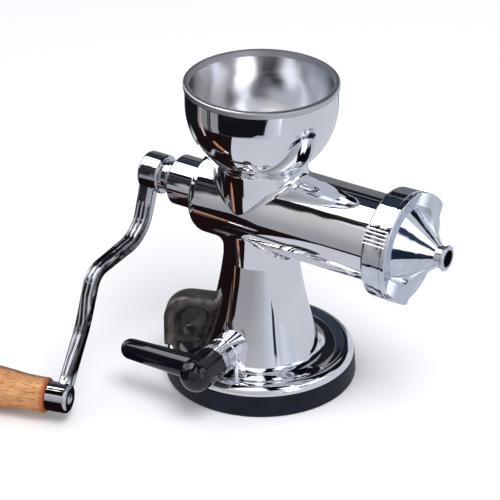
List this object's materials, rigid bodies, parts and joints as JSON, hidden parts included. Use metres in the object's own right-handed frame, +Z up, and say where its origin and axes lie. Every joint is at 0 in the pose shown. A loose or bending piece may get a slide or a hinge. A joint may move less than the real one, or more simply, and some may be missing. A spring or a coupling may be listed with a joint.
{
  "type": "manual wheatgrass juicer",
  "caption": "Hand-cranked juicer with bowl hopper, horizontal auger barrel, winged screw cap with nozzle, wooden crank grip and lever-operated suction base.",
  "frame": {"origin": "centre of the suction base's underside, on the table", "axes": "+Z up; +X along the auger towards the winged cap; the suction lever points to -Y"},
  "size_m": [0.346, 0.2517, 0.2412],
  "materials": {
    "polished_steel": "mirror polished",
    "polished_crank": "polished forging",
    "cast_cap": "polished band and satin cast wings",
    "dark_casting": "dark satin",
    "bush_steel": "turned",
    "bush_chrome": "fine lengthwise ribs",
    "screen_steel": "slit sleeve",
    "pad_rubber": "moulded",
    "seal_rubber": "moulded",
    "plate_steel": "plain turned",
    "screw_steel": "plain",
    "auger_steel": "cast and turned",
    "grip_wood": "oiled, turned",
    "lever_plastic": "gloss black"
  },
  "bodies": {
    "housing": {"hopper": "polished_steel", "barrel": "polished_steel", "pedestal": "polished_steel", "clamp_lug": "dark_casting", "rear_bush": "bush_steel", "juice_screen": "screen_steel", "suction_pad": "pad_rubber", "pad_diaphragm": "pad_rubber", "base_plate": "plate_steel", "base_screws": "screw_steel", "lever_bush": "bush_chrome"},
    "drive": {"auger": "auger_steel", "thrust_washer": "bush_steel", "crank_arm": "polished_crank", "crank_lock_screw": "screw_steel", "grip_bolt": "screw_steel", "grip_nut": "screw_steel"},
    "grip": {"wooden_grip": "grip_wood"},
    "cap_carrier": {"cap_seal": "seal_rubber"},
    "cap": {"front_cap": "cast_cap"},
    "lever": {"cam_shaft": "plate_steel", "retaining_clip": "screw_steel", "lever_handle": "lever_plastic", "lever_set_screw": "screw_steel"},
    "stem": {"pull_stem": "plate_steel"}
  },
  "joints": [
    {"name": "crank_turn", "type": "hinge", "parent": "housing", "child": "drive", "pos_m": [0, 0, 0.1416], "axis": [1, 0, 0], "continuous": true},
    {"name": "grip_spin", "type": "hinge", "parent": "drive", "child": "grip", "pos_m": [-0.1439, -0.15728, 0.0182], "axis": [-0.9681, -0.2504, 0], "continuous": true},
    {"name": "cap_travel", "type": "slide", "parent": "housing", "child": "cap_carrier", "axis": [1, 0, 0], "range_m": [0, 0.0151]},
    {"name": "cap_unscrew", "type": "hinge", "parent": "cap_carrier", "child": "cap", "pos_m": [0.12, 0, 0.1416], "axis": [1, 0, 0], "range_deg": [0, 1800]},
    {"name": "lever_turn", "type": "hinge", "parent": "housing", "child": "lever", "pos_m": [0, -0.06, 0.0375], "axis": [0, 1, 0], "range_deg": [0, 180]},
    {"name": "stem_lift", "type": "slide", "parent": "housing", "child": "stem", "axis": [0, 0, 1], "range_m": [0, 0.00402], "deforming": ["pad_diaphragm"]}
  ],
  "couplings": [
    {"joint": "cap_travel", "follows": "cap_unscrew", "m_per_rad": 0.00047746},
    {"joint": "stem_lift", "follows": "lever_turn", "m_per_rad": 0.0012732}
  ]
}
